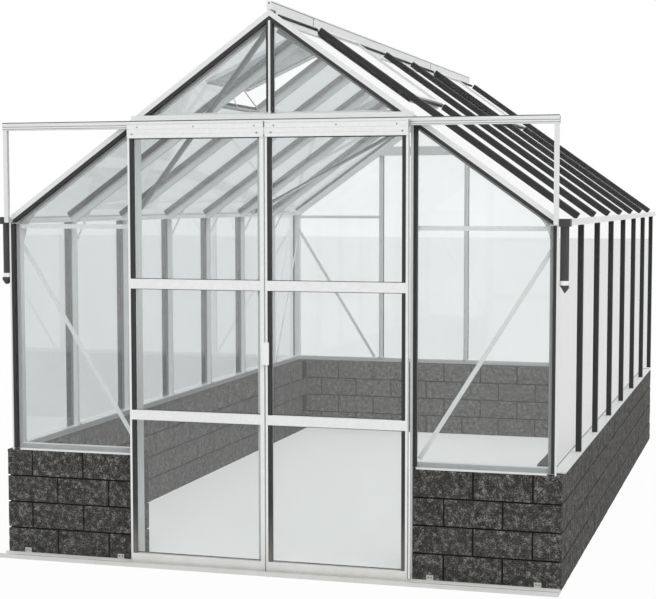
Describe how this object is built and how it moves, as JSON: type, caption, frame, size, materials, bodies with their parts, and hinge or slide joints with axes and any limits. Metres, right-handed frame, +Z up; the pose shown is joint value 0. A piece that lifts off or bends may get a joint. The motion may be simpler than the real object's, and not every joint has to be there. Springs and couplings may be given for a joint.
{
  "type": "glass greenhouse on a block wall",
  "caption": "Glass greenhouse with an aluminium frame on a low block wall, with sliding double doors, gutters, downpipes and roof vents.",
  "frame": {"origin": "on the ground, in the middle of the footprint", "axes": "+X across the door gable to its right side, +Y from the door gable to the back gable, +Z up"},
  "size_m": [2.666, 4.506, 2.544],
  "materials": {
    "block_stone": "dark split-face concrete block",
    "mill_aluminium": "satin mill finish",
    "black_plastic": "matt black extrusion",
    "white_plastic": "satin pale grey",
    "clear_glass": "clear float glass with a pale grey green tint"
  },
  "bodies": {
    "house": {"wall_front_left": "block_stone", "wall_front_right": "block_stone", "wall_left": "block_stone", "wall_right": "block_stone", "wall_back": "block_stone", "sills": "mill_aluminium", "corner_posts": "mill_aluminium", "door_posts": "mill_aluminium", "rafters": "mill_aluminium", "gable_bars_front": "mill_aluminium", "gable_bars_back": "mill_aluminium", "side_bars_left": "mill_aluminium", "side_bars_right": "mill_aluminium", "roof_bars_left": "mill_aluminium", "roof_bars_right": "mill_aluminium", "ridge": "mill_aluminium", "gutter_left": "mill_aluminium", "gutter_right": "mill_aluminium", "downpipes": "black_plastic", "pipe_rings": "white_plastic", "pipe_spouts": "black_plastic", "wall_braces": "mill_aluminium", "roof_braces": "mill_aluminium", "knee_braces": "mill_aluminium", "side_caps": "black_plastic", "roof_caps": "black_plastic", "gable_caps": "black_plastic", "glass_front": "clear_glass", "glass_back": "clear_glass", "glass_left": "clear_glass", "glass_right": "clear_glass", "glass_roof_left": "clear_glass", "glass_roof_right": "clear_glass", "vent_frames": "mill_aluminium", "vent_glass": "clear_glass", "vent_stays": "mill_aluminium", "vent_transoms": "mill_aluminium", "door_rail": "mill_aluminium", "rail_brackets": "mill_aluminium", "rail_end_posts": "mill_aluminium", "bottom_track": "mill_aluminium", "track_clips": "mill_aluminium"},
    "left_door": {"left_door_frame": "mill_aluminium", "left_door_glass": "clear_glass", "left_door_strips": "black_plastic", "left_door_hangers": "mill_aluminium", "door_handle": "white_plastic"},
    "right_door": {"right_door_frame": "mill_aluminium", "right_door_glass": "clear_glass", "right_door_strips": "black_plastic", "right_door_hangers": "mill_aluminium"}
  },
  "joints": [
    {"name": "left_door_slide", "type": "slide", "parent": "house", "child": "left_door", "axis": [-1, 0, 0], "range_m": [0, 0.6]},
    {"name": "right_door_slide", "type": "slide", "parent": "house", "child": "right_door", "axis": [1, 0, 0], "range_m": [0, 0.6]}
  ]
}
